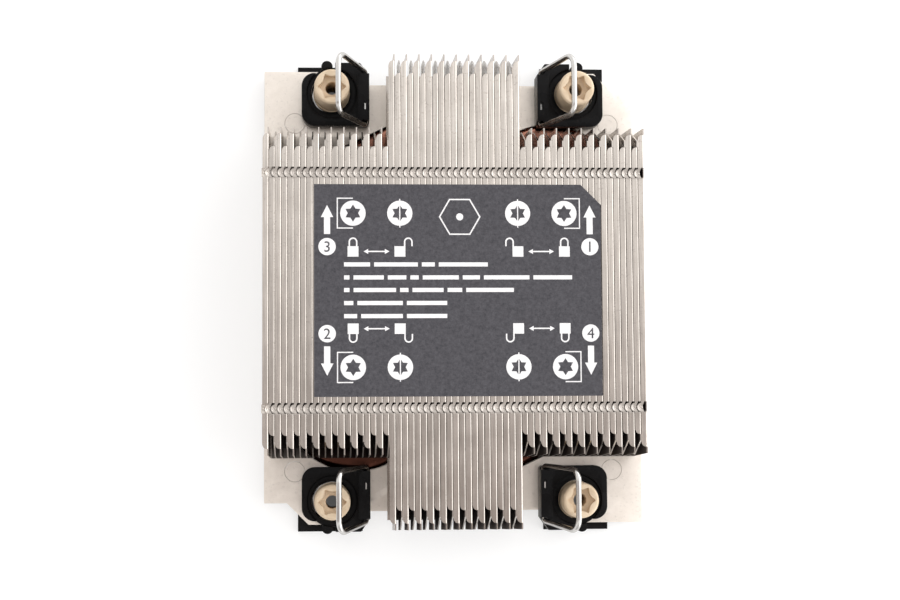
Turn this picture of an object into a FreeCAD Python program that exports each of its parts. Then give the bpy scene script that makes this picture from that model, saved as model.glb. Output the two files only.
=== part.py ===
"""Passive server CPU heatsink: milled base plate with two flattened heat pipes, a stack of
zipper fins, and four captive nuts in clipped carriers with swinging anti-tilt wires.

Frame: millimetres, +Z up out of the contact face, +Y along the air flow, origin at the centre
of the contact face. The plate and the pipes are alike after half a turn about Z.
"""
import FreeCAD, Part
import math
import os
import re
import Sketcher

SIZES = {
    # base plate
    "plate_wide": 93.5, "plate_long": 112.4, "plate_thick": 3.5,
    "waist_step": 3.2, "ear_in": 7.5, "cut_shelf": 5.6, "cut_drop": 5.3,
    "contact_wide": 56.0, "contact_inset": 17.2, "contact_rise": 1.5,
    "plug_side": 7.55, "plug_end": 13.0, "plug_r": 2.45, "plug_gap": 0.08,
    # heat pipes, the insets measured from the plate's side or end to their middle line
    "pipe_wide": 7.4, "pipe_thick": 3.0, "pipe_side_flat": 0.06, "pipe_side_gap": 0.15,
    "pipe_side_inset": 8.35, "foot_inset": 16.8, "foot_flat": 0.4, "tip_inset": 10.1, "tip_rise": 18.2,
    "cpu_leg_x": 10.4, "cpu_leg_end": 28.0, "groove_rise": 0.5,
    # fins
    "fin_pitch": 1.5, "fin_sheet": 0.3, "fin_tall": 20.0, "stack_inset": 0.1,
    "stack_clear": 3.2, "wing_clear": 4.6, "centre_inset": 1.0, "web_overhang": 1.55, "web_flare": 0.9,
    "short_step": 3.05, "slant_tall": 9.6, "corner_wide": 1.0, "corner_long": 1.4,
    "lock_inset": 9.38, "lock_long": 2.1, "lock_deep": 0.85, "lock_gap": 0.2,
    "lock_cut": 0.3, "lock_drop": 0.5, "notch_tall": 1.7, "end_tab": 0.2,
    # label
    "label_wide": 68.6, "label_long": 50.6, "label_thick": 0.12, "label_corner": 4.8,
    # captive nuts
    "nut_side": 16.75, "nut_end": 5.85, "nut_r": 4.3, "nut_top": 17.0, "nut_low": 0.4,
    "nut_flange_r": 4.6, "nut_flange_thick": 1.5, "nut_chamfer": 0.4,
    "barrel_r": 3.9, "barrel_gap": 0.1, "bore_r": 1.6, "nut_play": 0.1,
    "star_r": 3.1, "star_waist_r": 2.1, "star_deep": 4.2, "star_tip_r": 0.25, "star_side_r": 2.0,
    "washer_r": 5.15, "washer_thick": 0.5,
    "ring_r": 5.0, "ring_thick": 0.6, "ring_seat_r": 3.3,
    # carriers, measured from the nut's axis: out is away from the middle of the plate
    "body_in": 9.2, "body_out": 7.45, "body_near": 8.3, "body_far": 4.85, "body_tall": 4.0,
    "body_round": 3.2, "body_edge": 0.9, "well_r": 6.25, "ledge_r": 5.35, "ledge_tall": 1.3,
    "mouth_low": 0.8, "mouth_high": 3.4, "wall_in": 7.0, "wall_far": 7.45,
    "foot_low": 0.3, "foot_in": 7.5, "foot_out": 8.5, "foot_near": 6.35, "foot_far": 7.65,
    "foot_hole_r": 5.4, "peg_x": 1.2, "peg_y": 6.55, "peg_r": 1.4, "peg_tall": 8.3, "peg_gap": 0.3,
    "block_thick": 2.8, "block_near": 7.35, "block_far": 4.25, "block_tall": 3.0,
    "slot_wide": 0.4, "slot_long": 2.0,
    # anti-tilt wires
    "wire_r": 0.675, "wire_gap": 0.075, "pivot_in": 8.2, "pivot_z": 10.0,
    "wire_leg": 15.2, "wire_raise": 64.0, "leg_near": 8.25, "leg_far": 5.05,
    "bar_near": 7.45, "bar_far": 7.35, "stub_long": 2.2, "stub_bend": 0.9, "bar_bend": 2.8,
}

doc = FreeCAD.newDocument("Heatsink")
sheet = doc.addObject("Spreadsheet::Sheet", "Sizes")
for row, (alias, size) in enumerate(SIZES.items(), start=1):
    sheet.set(f"A{row}", alias)
    sheet.set(f"B{row}", str(size))
    sheet.setAlias(f"B{row}", alias)
doc.recompute()

PLATE_TOP = "(contact_rise + plate_thick)"
FIN_TOP = "(contact_rise + plate_thick + fin_tall)"
BODY_TOP = f"({PLATE_TOP} + body_tall)"
NUT_X, NUT_Y = "(plate_wide / 2 - nut_side)", "(plate_long / 2 - nut_end)"
PLUG_X, PLUG_Y = "(plate_wide / 2 - plug_side)", "(plate_long / 2 - plug_end)"
CENTRE_PAIRS = f"floor(({NUT_X} - body_in - stack_clear) / fin_pitch - 1)"
WING_PAIRS = f"floor(((plate_wide / 2 - stack_inset) / fin_pitch - 1 - {CENTRE_PAIRS}) / 2)"
CENTRE_FLANGE = "(plate_long / 2 - centre_inset)"
WING_FLANGE = f"({NUT_Y} - body_near - wing_clear)"
LOCK_Y = f"({WING_FLANGE} - lock_inset)"
ARC_MIDDLE = "(1 - sqrt(0.5))"
OUTER_ROW = "left_wing_long_fins"
CORNERS = {"back_left": (-1, 1), "back_right": (1, 1), "front_left": (-1, -1), "front_right": (1, -1)}


def bound(formula):
    """A formula in plain size names, as an expression on the sheet's cells."""
    return re.sub(r"[a-z]\w*", lambda m: f"Sizes.{m.group()}" if m.group() in SIZES else m.group(),
                  str(formula))


def number(formula):
    """What a formula comes to with the sheet's present sizes."""
    return float(sheet.evalExpression(bound(formula)))


def new_body(name, several=False):
    body = doc.addObject("PartDesign::Body", name)
    body.Label = name
    body.AllowCompound = several
    return body


def new_sketch(body, role, offset="0"):
    """An empty sketch on one of the body's own origin planes, moved along its normal."""
    sketch = body.newObject("Sketcher::SketchObject", f"{body.Name}_sketch")
    plane = next(item for item in body.Origin.OriginFeatures if item.Role == role)
    sketch.AttachmentSupport = [(plane, "")]
    sketch.MapMode = "FlatFace"
    sketch.setExpression("AttachmentOffset.Base.z", bound(offset))
    return sketch


def tie_point(sketch, geometry, end, x, y):
    """Hold one point of a sketch at formulas for its two coordinates."""
    for kind, formula in (("DistanceX", x), ("DistanceY", y)):
        index = sketch.addConstraint(Sketcher.Constraint(kind, -1, 1, geometry, end, number(formula)))
        sketch.setExpression(f"Constraints[{index}]", bound(formula))


def circle(sketch, x, y, radius):
    centre = FreeCAD.Vector(number(x), number(y), 0)
    item = sketch.addGeometry(Part.Circle(centre, FreeCAD.Vector(0, 0, 1), number(radius)), False)
    tie_point(sketch, item, 3, x, y)
    index = sketch.addConstraint(Sketcher.Constraint("Radius", item, number(radius)))
    sketch.setExpression(f"Constraints[{index}]", bound(radius))


def path(sketch, corners, closed=True):
    """Straight lines through the corners (x, y); a corner (x, y, radius) is rounded."""
    points = [FreeCAD.Vector(number(c[0]), number(c[1]), 0) for c in corners]
    count = len(points)
    sides = count if closed else count - 1
    rounded = [len(c) > 2 for c in corners]
    guides = []
    for i in range(sides):
        line = Part.LineSegment(points[i], points[(i + 1) % count])
        guides.append(sketch.addGeometry(line, any(rounded)))
        tie_point(sketch, guides[i], 1, *corners[i][:2])
    for i in range(1, sides):
        sketch.addConstraint(Sketcher.Constraint("Coincident", guides[i - 1], 2, guides[i], 1))
    if closed:
        sketch.addConstraint(Sketcher.Constraint("Coincident", guides[-1], 2, guides[0], 1))
    else:
        tie_point(sketch, guides[-1], 2, *corners[-1][:2])
    if any(rounded):
        round_path(sketch, corners, points, guides, rounded, closed)


def round_path(sketch, corners, points, guides, rounded, closed):
    """Real lines on the guide lines, with a tangent arc at each rounded corner."""
    count = len(points)

    def cut_back(i, towards):
        if not rounded[i]:
            return points[i]
        before = (points[i - 1] - points[i]).normalize()
        after = (points[(i + 1) % count] - points[i]).normalize()
        half = before.getAngle(after) / 2
        way = (points[towards] - points[i]).normalize()
        return points[i] + way * (number(corners[i][2]) / math.tan(half))

    lines = []
    for i, guide in enumerate(guides):
        j = (i + 1) % count
        lines.append(sketch.addGeometry(Part.LineSegment(cut_back(i, j), cut_back(j, i)), False))
        for end, corner in ((1, i), (2, j)):
            if rounded[corner]:
                sketch.addConstraint(Sketcher.Constraint("PointOnObject", lines[i], end, guide))
            else:
                sketch.addConstraint(Sketcher.Constraint("Coincident", lines[i], end, guide, end))
    for i in range(count):
        if not rounded[i]:
            continue
        start, end = cut_back(i, i - 1), cut_back(i, (i + 1) % count)
        before = (points[i - 1] - points[i]).normalize()
        after = (points[(i + 1) % count] - points[i]).normalize()
        inward = (before + after).normalize()
        radius = number(corners[i][2])
        centre = points[i] + inward * (radius / math.sin(before.getAngle(after) / 2))
        left_turn = (points[i] - points[i - 1]).cross(points[(i + 1) % count] - points[i]).z > 0
        first, last = (start, end) if left_turn else (end, start)
        angles = [math.atan2(p.y - centre.y, p.x - centre.x) for p in (first, last)]
        round_one = Part.ArcOfCircle(Part.Circle(centre, FreeCAD.Vector(0, 0, 1), radius), *angles)
        arc = sketch.addGeometry(round_one, False)
        entry, leave = (1, 2) if left_turn else (2, 1)
        sketch.addConstraint(Sketcher.Constraint("Tangent", lines[i - 1], 2, arc, entry))
        sketch.addConstraint(Sketcher.Constraint("Tangent", arc, leave, lines[i], 1))
        index = sketch.addConstraint(Sketcher.Constraint("Radius", arc, radius))
        sketch.setExpression(f"Constraints[{index}]", bound(corners[i][2]))


def rectangle(sketch, x_low, x_high, y_low, y_high):
    path(sketch, [(x_low, y_low), (x_high, y_low), (x_high, y_high), (x_low, y_high)])


def pad(body, sketch, length, backwards=False):
    feature = body.newObject("PartDesign::Pad", f"{body.Name}_pad")
    feature.Profile = sketch
    feature.setExpression("Length", bound(length))
    feature.Reversed = backwards
    return feature


def pocket(body, sketch, length, backwards=False):
    feature = body.newObject("PartDesign::Pocket", f"{body.Name}_pocket")
    feature.Profile = sketch
    feature.setExpression("Length", bound(length))
    feature.Reversed = backwards
    return feature


def sweep(body, kind, profile, route):
    """Draw a profile along every edge of a route sketch."""
    doc.recompute()
    feature = body.newObject(kind, f"{body.Name}_sweep")
    feature.Profile = profile
    feature.Spine = (route, [f"Edge{n + 1}" for n in range(len(route.Shape.Edges))])
    return feature


def repeat(body, features, axis_role, count, step):
    """A straight row of the given features."""
    feature = body.newObject("PartDesign::LinearPattern", f"{body.Name}_row")
    feature.Originals = features
    axis = next(item for item in body.Origin.OriginFeatures if item.Role == axis_role)
    feature.Direction = (axis, [""])
    feature.Mode = "Spacing"
    feature.setExpression("Offset", bound(step))
    feature.setExpression("Occurrences", bound(count))
    body.Tip = feature


def move(body, x="0", y="0", z="0"):
    for axis, formula in zip("xyz", (x, y, z)):
        body.setExpression(f"Placement.Base.{axis}", bound(formula))


def pipe_route(turn, beyond):
    """Corners of one heat pipe's centre line; turn is 1 for the left pipe, -1 for the right.

    It runs down the middle leg, round a half turn with a short flat at its foot, up the wing and
    across to the plate's end.
    """
    wing_x = "(plate_wide / 2 - pipe_side_inset)"
    bend = f"(({wing_x} - cpu_leg_x - foot_flat) / 2)"
    foot_y, tip_y = "(plate_long / 2 - foot_inset)", "(plate_long / 2 - tip_inset)"
    corners = [("-cpu_leg_x", f"cpu_leg_end + {beyond}"), ("-cpu_leg_x", f"-{foot_y}", bend),
               (f"-{wing_x}", f"-{foot_y}", bend), (f"-{wing_x}", f"{tip_y} - tip_rise", bend),
               (f"({beyond})", f"{tip_y} + {beyond} * tip_rise / {wing_x}")]
    return [(f"{turn} * ({c[0]})", f"{turn} * ({c[1]})", *c[2:]) for c in corners]


def make_base_plate():
    body = new_body("base_plate")
    half_wide, half_long = "plate_wide / 2", "plate_long / 2"
    ear_x, waist_y = f"({NUT_X} - ear_in)", f"({half_long} - waist_step)"
    right = [(ear_x, waist_y), (ear_x, half_long),
             (f"{half_wide} - cut_shelf - cut_drop", half_long),
             (f"{half_wide} - cut_shelf", f"{half_long} - cut_drop"),
             (half_wide, f"{half_long} - cut_drop"), (half_wide, f"-{half_long}"),
             (ear_x, f"-{half_long}"), (ear_x, f"-{waist_y}")]
    left = [(f"-({x})", f"-({y})") for x, y in right]
    outline = new_sketch(body, "XY_Plane", "contact_rise")
    path(outline, right + left)
    pad(body, outline, "plate_thick")
    contact = new_sketch(body, "XY_Plane")
    contact_y = f"({half_long} - contact_inset)"
    rectangle(contact, "-contact_wide / 2", "contact_wide / 2", f"-{contact_y}", contact_y)
    pad(body, contact, "contact_rise + plate_thick / 2")
    holes = new_sketch(body, "XY_Plane", PLATE_TOP)
    notches = new_sketch(body, "XY_Plane", PLATE_TOP)
    for side, end in CORNERS.values():
        circle(holes, f"{side} * {NUT_X}", f"{end} * {NUT_Y}", "barrel_r + barrel_gap")
        circle(holes, f"{side} * {PLUG_X}", f"{end} * {PLUG_Y}", "plug_r + plug_gap")
        circle(notches, f"{side} * ({NUT_X} + peg_x)", f"{end} * ({NUT_Y} + peg_y)", "peg_r + peg_gap")
    pocket(body, holes, "plate_thick")
    pocket(body, notches, "plate_thick")
    for turn in (1, -1):
        route = new_sketch(body, "XY_Plane", PLATE_TOP)
        path(route, pipe_route(turn, "pipe_side_gap"), closed=False)
        section = new_sketch(body, "XZ_Plane", f"-{turn} * (cpu_leg_end + pipe_side_gap)")
        reach = "(pipe_wide / 2 + pipe_side_gap)"
        middle = f"-{turn} * cpu_leg_x"
        rectangle(section, f"{middle} - {reach}", f"{middle} + {reach}",
                  f"{PLATE_TOP} - pipe_thick", f"{PLATE_TOP} + groove_rise")
        sweep(body, "PartDesign::SubtractivePipe", section, route)


def make_plate_plugs():
    body = new_body("plate_plugs", several=True)
    outline = new_sketch(body, "XY_Plane", "contact_rise")
    for side, end in CORNERS.values():
        circle(outline, f"{side} * {PLUG_X}", f"{end} * {PLUG_Y}", "plug_r")
    pad(body, outline, "plate_thick")


def make_heat_pipe(name, turn):
    body = new_body(name)
    route = new_sketch(body, "XY_Plane", f"{PLATE_TOP} - pipe_thick / 2")
    path(route, pipe_route(turn, "0"), closed=False)
    section = new_sketch(body, "XZ_Plane", f"-{turn} * cpu_leg_end")
    low, high = f"{PLATE_TOP} - pipe_thick", PLATE_TOP
    middle = f"-{turn} * cpu_leg_x"
    left, right = f"{middle} - pipe_wide / 2", f"{middle} + pipe_wide / 2"
    edge = "(pipe_thick - pipe_side_flat) / 2"
    path(section, [(left, low, edge), (right, low, edge), (right, high, edge), (left, high, edge)])
    sweep(body, "PartDesign::AdditivePipe", section, route)


def make_fins(name, flange, short, first, count):
    """A row of folded sheets: web, two flanges, lock tabs on one edge and lock notches in the fold."""
    body = new_body(name, several=True)
    step = "short_step" if short else "0"
    web_top, web_low = f"({flange} + web_overhang)", f"({flange} + web_overhang + web_flare)"
    half_web = [(web_low, PLATE_TOP)]
    if short:
        at_slant = f"({flange} + web_overhang + web_flare * slant_tall / fin_tall)"
        half_web.append((at_slant, f"{FIN_TOP} - slant_tall"))
    half_web.append((f"{web_top} - {step}", FIN_TOP))
    web = new_sketch(body, "YZ_Plane")
    path(web, half_web + [(f"-({y})", z) for y, z in reversed(half_web)])
    parts = [pad(body, web, "fin_sheet", backwards=True)]
    free = "-fin_pitch"
    for is_top in (True, False):
        end = f"({flange} - {step if is_top else 0})"
        half = [("0", end), (f"{free} + corner_wide", end)]
        if is_top:
            half.append((f"{free} + corner_wide * {ARC_MIDDLE}", f"{end} - corner_long * {ARC_MIDDLE}"))
        half.append((free, f"{end} - corner_long"))
        if is_top:
            half += lock_corners(free, "-(fin_pitch + lock_deep)", "lock_long / 2")
        sheet_low = f"{FIN_TOP} - fin_sheet" if is_top else PLATE_TOP
        outline = new_sketch(body, "XY_Plane", sheet_low)
        path(outline, half + [(x, f"-({y})") for x, y in reversed(half)])
        parts.append(pad(body, outline, "fin_sheet"))
    notch = new_sketch(body, "XY_Plane", FIN_TOP)
    for end in (1, -1):
        corners = lock_corners("fin_sheet", "-(lock_deep + lock_gap)", "(lock_long / 2 + lock_gap)")
        path(notch, [(x, f"{end} * ({y})") for x, y in corners])
    parts.append(pocket(body, notch, "notch_tall"))
    repeat(body, parts, "X_Axis", count, "2 * fin_pitch")
    if name == OUTER_ROW:
        trim_first_tabs(body)
    move(body, x=f"fin_pitch * ({first})")


def trim_first_tabs(body):
    """The first sheet of the stack has no neighbour to hold, so its two tabs end short."""
    free, tip = "-(fin_pitch + end_tab)", "-(fin_pitch + lock_deep + lock_gap)"
    ends = new_sketch(body, "XY_Plane", FIN_TOP)
    for end in (1, -1):
        low, high = (f"{end} * {LOCK_Y} + {s} * (lock_long / 2 + lock_gap)" for s in (-1, 1))
        rectangle(ends, tip, free, low, high)
    pocket(body, ends, "fin_sheet + lock_gap")


def lock_corners(mouth, tip, half):
    """Outline of a lock tab, or of the notch that the next sheet's tab lies in, from mouth to mouth."""
    upper = [(mouth, half), (f"{tip} + lock_cut", half), (tip, f"{half} - lock_drop")]
    lower = [(x, f"-({y})") for x, y in reversed(upper)]
    return [(x, f"{LOCK_Y} + {y}") for x, y in upper + lower]


def make_label():
    body = new_body("instruction_label")
    x, y = "label_wide / 2", "label_long / 2"
    outline = new_sketch(body, "XY_Plane", FIN_TOP)
    path(outline, [(f"-{x}", f"-{y}"), (x, f"-{y}"), (x, f"{y} - label_corner"),
                   (f"{x} - label_corner", y), (f"-{x}", y)])
    pad(body, outline, "label_thick")


def make_nut(corner):
    """Captive nut: barrel in the plate's hole, flange above it, six-lobe recess in the head."""
    body = new_body(f"nut_{corner}")
    flange_low = f"({PLATE_TOP} + washer_thick + nut_play)"
    flange_top = f"({flange_low} + nut_flange_thick)"
    ring_low = "(contact_rise - nut_play - ring_thick)"
    profile = new_sketch(body, "XZ_Plane")
    path(profile, [("bore_r", "nut_low"), ("barrel_r - nut_chamfer", "nut_low"),
                   ("barrel_r", "nut_low + nut_chamfer / 2"), ("barrel_r", ring_low),
                   ("ring_seat_r", ring_low), ("ring_seat_r", f"{ring_low} + ring_thick"),
                   ("barrel_r", f"{ring_low} + ring_thick"), ("barrel_r", flange_low),
                   ("nut_flange_r", flange_low), ("nut_flange_r", flange_top), ("nut_r", flange_top),
                   ("nut_r", "nut_top - nut_chamfer"), ("nut_r - nut_chamfer", "nut_top"),
                   ("bore_r", "nut_top")])
    turned = body.newObject("PartDesign::Revolution", f"{body.Name}_turned")
    turned.Profile = profile
    turned.ReferenceAxis = (profile, ["V_Axis"])
    turned.Angle = 360
    recess = new_sketch(body, "XY_Plane", "nut_top")
    star = []
    for turn in range(0, 360, 60):
        for radius, angle, rounding in (("star_r", turn, "star_tip_r"),
                                        ("star_waist_r", turn + 30, "star_side_r")):
            star.append((f"{radius} * cos({angle})", f"{radius} * sin({angle})", rounding))
    path(recess, star)
    pocket(body, recess, "star_deep")
    side, end = CORNERS[corner]
    move(body, f"{side} * {NUT_X}", f"{end} * {NUT_Y}")


def make_disc_ring(name, corner, inner, outer, low, thick):
    body = new_body(f"{name}_{corner}")
    outline = new_sketch(body, "XY_Plane", low)
    circle(outline, "0", "0", outer)
    circle(outline, "0", "0", inner)
    pad(body, outline, thick)
    side, end = CORNERS[corner]
    move(body, f"{side} * {NUT_X}", f"{end} * {NUT_Y}")


def make_carrier(corner):
    """Moulded housing clipped round the plate's edge: foot below, body above, wire block inboard."""
    side, end = CORNERS[corner]
    body = new_body(f"carrier_{corner}")

    def at(out, far):
        """A point given outwards in X and outwards in Y from the nut's axis."""
        return f"{side} * ({out})", f"{end} * ({far})"

    def box(sketch, out_low, out_high, far_low, far_high):
        path(sketch, [at(out_low, far_low), at(out_high, far_low), at(out_high, far_high),
                      at(out_low, far_high)])

    upper = new_sketch(body, "XY_Plane", PLATE_TOP)
    path(upper, [(*at("-body_in", "-body_near"), "body_edge"), (*at("body_out", "-body_near"), "body_round"),
                 (*at("body_out", "body_far"), "body_round"), at("mouth_high", "body_far"),
                 at("mouth_high", "0"), at("-mouth_low", "0"), at("-mouth_low", "wall_far"),
                 (*at("-wall_in", "wall_far"), "body_edge"), at("-body_in", "block_far")])
    pad(body, upper, "body_tall")
    outer_wall = new_sketch(body, "XY_Plane", "foot_low")
    box(outer_wall, "-wall_in", "-mouth_low", "nut_end", "wall_far")
    pad(body, outer_wall, f"{BODY_TOP} - foot_low")
    foot = new_sketch(body, "XY_Plane", "foot_low")
    box(foot, "-foot_in", "foot_out", "-foot_near", "foot_far")
    pad(body, foot, "contact_rise - foot_low")
    peg = new_sketch(body, "XY_Plane", "foot_low")
    circle(peg, *at("peg_x", "peg_y"), "peg_r")
    pad(body, peg, "peg_tall")
    block = new_sketch(body, "XY_Plane", BODY_TOP)
    box(block, "-body_in", "-body_in + block_thick", "-block_near", "block_far")
    pad(body, block, "block_tall")
    well = new_sketch(body, "XY_Plane", BODY_TOP)
    circle(well, "0", "0", "well_r")
    pocket(body, well, "body_tall - ledge_tall")
    for height, radius, depth in ((BODY_TOP, "ledge_r", "body_tall"),
                                  ("contact_rise", "foot_hole_r", "contact_rise - foot_low")):
        hole = new_sketch(body, "XY_Plane", height)
        circle(hole, "0", "0", radius)
        pocket(body, hole, depth)
    pin_hole = new_sketch(body, "XZ_Plane", f"{end} * block_near")
    circle(pin_hole, f"-{side} * pivot_in", "pivot_z", "wire_r + wire_gap")
    pocket(body, pin_hole, "block_near + block_far", backwards=(end < 0))
    slot = new_sketch(body, "XY_Plane", f"{BODY_TOP} + block_tall")
    box(slot, "-pivot_in - slot_wide / 2", "-pivot_in + slot_wide / 2",
        "-block_near / 2 - slot_long / 2", "-block_near / 2 + slot_long / 2")
    pocket(body, slot, "block_tall + body_tall")
    move(body, f"{side} * {NUT_X}", f"{end} * {NUT_Y}")


def make_wire(corner):
    """Bail of round wire: two stubs in the carrier's block, two legs and the bar between them."""
    side, end = CORNERS[corner]
    body = new_body(f"anti_tilt_wire_{corner}")
    corners = [("0", "-leg_near + stub_long"), ("0", "-leg_near", "stub_bend"),
               ("wire_leg", "-bar_near", "bar_bend"), ("wire_leg", "bar_far", "bar_bend"),
               ("0", "leg_far", "stub_bend"), ("0", "leg_far - stub_long")]
    route = new_sketch(body, "XY_Plane")
    path(route, [(c[0], f"{end} * ({c[1]})", *c[2:]) for c in corners], closed=False)
    section = new_sketch(body, "XZ_Plane", f"{end} * (leg_near - stub_long)")
    circle(section, "0", "0", "wire_r")
    sweep(body, "PartDesign::AdditivePipe", section, route)
    move(body, f"{side} * ({NUT_X} - pivot_in)", f"{end} * {NUT_Y}", "pivot_z")
    angle = "-wire_raise" if side > 0 else "-(180 - wire_raise)"
    body.setExpression("Placement.Rotation.Axis.y", "1")
    body.setExpression("Placement.Rotation.Axis.z", "0")
    body.setExpression("Placement.Rotation.Angle", f"({bound(angle)}) * 1 deg")


make_base_plate()
make_plate_plugs()
make_heat_pipe("heat_pipe_left", 1)
make_heat_pipe("heat_pipe_right", -1)
LEFT_FIRST, CENTRE_FIRST = f"-({CENTRE_PAIRS} + 2 * {WING_PAIRS})", f"-{CENTRE_PAIRS}"
make_fins(OUTER_ROW, WING_FLANGE, False, LEFT_FIRST, WING_PAIRS)
make_fins("left_wing_short_fins", WING_FLANGE, True, f"{LEFT_FIRST} + 1", WING_PAIRS)
make_fins("centre_long_fins", CENTRE_FLANGE, False, CENTRE_FIRST, f"{CENTRE_PAIRS} + 1")
make_fins("centre_short_fins", CENTRE_FLANGE, True, f"{CENTRE_FIRST} + 1", CENTRE_PAIRS)
make_fins("right_wing_short_fins", WING_FLANGE, True, f"{CENTRE_PAIRS} + 1", WING_PAIRS)
make_fins("right_wing_long_fins", WING_FLANGE, False, f"{CENTRE_PAIRS} + 2", WING_PAIRS)
make_label()
for corner in CORNERS:
    make_carrier(corner)
    make_nut(corner)
    make_disc_ring("nut_washer", corner, "barrel_r + barrel_gap", "washer_r", PLATE_TOP, "washer_thick")
    make_disc_ring("retaining_ring", corner, "ring_seat_r", "ring_r",
                   "contact_rise - nut_play - ring_thick", "ring_thick")
    make_wire(corner)

doc.recompute()
for item in doc.Objects:
    if {"Invalid", "Error"} & set(item.State):
        raise RuntimeError(f"{item.Name} failed: {item.State}")
bodies = [item for item in doc.Objects if item.TypeId == "PartDesign::Body"]
os.makedirs("parts", exist_ok=True)
for body in bodies:
    if body.Shape.isNull() or not body.Shape.isValid():
        raise RuntimeError(f"{body.Label} has no valid shape")
    body.Shape.exportStep(f"parts/{body.Label}.step")
    print(body.Label, len(body.Shape.Solids), round(body.Shape.Volume, 2))
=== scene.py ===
"""Looks of a passive server CPU heatsink: plated base plate, folded zipper fins, printed film label,
four captive nuts in moulded carriers and their swinging wires.

Everything is in metres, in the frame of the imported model: +Z up out of the contact face, +Y along
the air flow. Shapes are drawn in millimetres and scaled by MM where they become meshes.
"""
import math

import bmesh
import bpy
from mathutils import Euler, Matrix, Vector


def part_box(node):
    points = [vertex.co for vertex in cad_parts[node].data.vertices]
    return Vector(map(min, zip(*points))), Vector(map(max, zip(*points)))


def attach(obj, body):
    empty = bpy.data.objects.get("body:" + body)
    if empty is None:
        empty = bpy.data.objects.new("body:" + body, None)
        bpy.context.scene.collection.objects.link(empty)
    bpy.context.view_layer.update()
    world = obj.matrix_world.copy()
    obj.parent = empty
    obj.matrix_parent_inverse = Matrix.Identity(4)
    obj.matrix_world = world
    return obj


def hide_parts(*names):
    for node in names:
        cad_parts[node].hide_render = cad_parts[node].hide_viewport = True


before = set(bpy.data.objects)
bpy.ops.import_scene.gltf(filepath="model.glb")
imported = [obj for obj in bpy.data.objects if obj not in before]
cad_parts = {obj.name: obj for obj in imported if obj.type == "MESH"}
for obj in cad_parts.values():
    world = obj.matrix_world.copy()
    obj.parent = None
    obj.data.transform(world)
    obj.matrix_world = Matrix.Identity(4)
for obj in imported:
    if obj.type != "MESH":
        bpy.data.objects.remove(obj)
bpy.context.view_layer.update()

MM = 0.001
CORNERS = {"back_left": (-1, 1), "back_right": (1, 1), "front_left": (-1, -1), "front_right": (1, -1)}


def box_mm(node):
    """A CAD node's lowest and highest corner in millimetres."""
    low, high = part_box(node)
    return low / MM, high / MM


PLATE_LOW, PLATE_HIGH = box_mm("base_plate")
PLATE_TOP = box_mm("nut_washer_back_left")[0].z
FIN_TOP = box_mm("centre_long_fins")[1].z
FIN_PITCH = box_mm("left_wing_short_fins")[1].x - box_mm("left_wing_long_fins")[1].x
SHEET = 0.3
BEND = 0.36                          # how far a fold reaches down the web
BEND_WIDE = 0.4                      # how far it reaches across the flange
MIDDLE = BEND - SHEET / 2            # the same reach down for the middle of the sheet
BEND_LONG = MIDDLE * math.pi / 2
BEND_STEPS = 6
FLANGE_FLAT = FIN_PITCH - BEND_WIDE
WEB_FLAT = FIN_TOP - PLATE_TOP - 2 * BEND
LOW_BEND = BEND_LONG + WEB_FLAT      # where the lower fold starts on the flat pattern
LAST = LOW_BEND + BEND_LONG + FLANGE_FLAT
OVERHANG = 1.55                      # how far a web runs on past its flanges at the top
FLARE = 0.9                          # how much further it runs at the bottom
SHORT_STEP = 3.05                    # how much earlier a short sheet ends at the top
SLANT = 9.6                          # how far down its slanted corner reaches
CORNER_WIDE, CORNER_LONG = 1.0, 1.4  # rounding of a flange's free corner
RELIEF_CUT = 0.1                     # slit between a flange's end and the web beyond it
LOCK_Y_INSET = 9.38                  # from a flange's end to the middle of its lock
LOCK_HALF, LOCK_DEEP = 1.05, 1.0     # half length of a lock tab, and its reach beyond the flange
NOTCH_DEEP, NOTCH_TALL = 1.04, 0.9   # reach of a notch across the flange, and down the web
NOTCH_UP, NOTCH_DOWN = 1.4, 1.1      # its reach along the sheet, from the middle of the lock
PRESS_WIDE, PRESS_HALF = 0.75, 1.3   # reach of a lock's pressing into the flange, and along it
SHEET_LOOSE = 0.0004                 # how far a sheet may stand turned, in radians


def flange_end(node):
    """Where the flanges of a row's long sheets end along Y."""
    return box_mm(node)[1].y - OVERHANG - FLARE


LOCK_Y = flange_end("left_wing_long_fins") - LOCK_Y_INSET


# ---------------------------------------------------------------------------------------------
# node trees
# ---------------------------------------------------------------------------------------------

def place(tree, kind, inputs=None, **settings):
    """Add a node. Settings are its properties. Inputs are socket values, or sockets that feed them."""
    node = tree.nodes.new(kind)
    for name, value in settings.items():
        setattr(node, name, value)
    for name, value in (inputs or {}).items():
        if isinstance(value, bpy.types.NodeSocket):
            tree.links.new(value, node.inputs[name])
        else:
            node.inputs[name].default_value = value
    return node


def math_node(tree, operation, first, second=0.0):
    return place(tree, "ShaderNodeMath", {0: first, 1: second}, operation=operation).outputs["Value"]


def map_range(tree, value, low, high, at_low=0.0, at_high=1.0, form="LINEAR"):
    """A value that goes from at_low to at_high while the given one goes from low to high."""
    return place(tree, "ShaderNodeMapRange", {"Value": value, "From Min": low, "From Max": high,
                                              "To Min": at_low, "To Max": at_high},
                 interpolation_type=form).outputs["Result"]


def mix(tree, factor, first, second, data_type="RGBA"):
    """The first value or colour where the factor is 0, the second where it is 1."""
    return place(tree, "ShaderNodeMix", {"Factor": factor, "A": first, "B": second},
                 data_type=data_type).outputs["Result"]


def split(tree, vector):
    """The X, Y and Z outputs of a vector."""
    return place(tree, "ShaderNodeSeparateXYZ", {"Vector": vector}).outputs


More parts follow.
